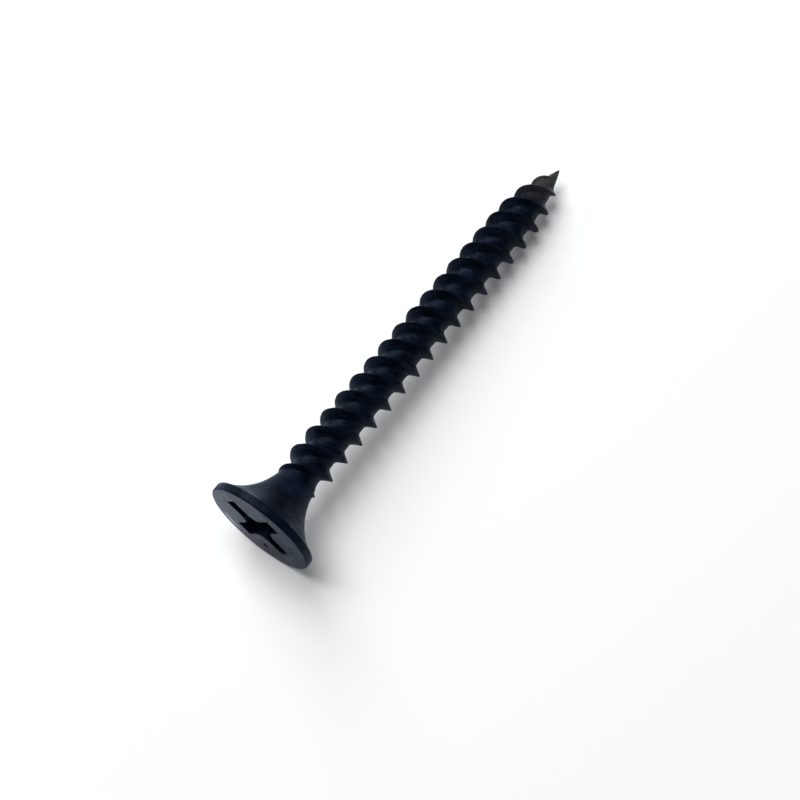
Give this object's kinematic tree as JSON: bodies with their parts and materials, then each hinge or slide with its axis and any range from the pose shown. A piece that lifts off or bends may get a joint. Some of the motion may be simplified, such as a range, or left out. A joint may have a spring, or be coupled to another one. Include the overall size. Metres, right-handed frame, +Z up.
{
  "type": "drywall screw",
  "caption": "Bugle-head drywall screw with a cross recess, a fine helical thread and a sharp point, lying at rest on its rim and thread.",
  "frame": {"origin": "on the surface that the screw lies on, under the middle of its bounding box", "axes": "+X from the head towards the point, level, with the screw's own axis dipping 4.4 degrees below it towards the point; +Z up; +Y across"},
  "size_m": [0.0352, 0.008, 0.008],
  "materials": {
    "black_phosphate": "matt black phosphate conversion coat on rolled carbon steel, slightly blue, with a fine crystalline grain"
  },
  "bodies": {
    "root": {"drywall_screw": "black_phosphate"}
  },
  "joints": []
}
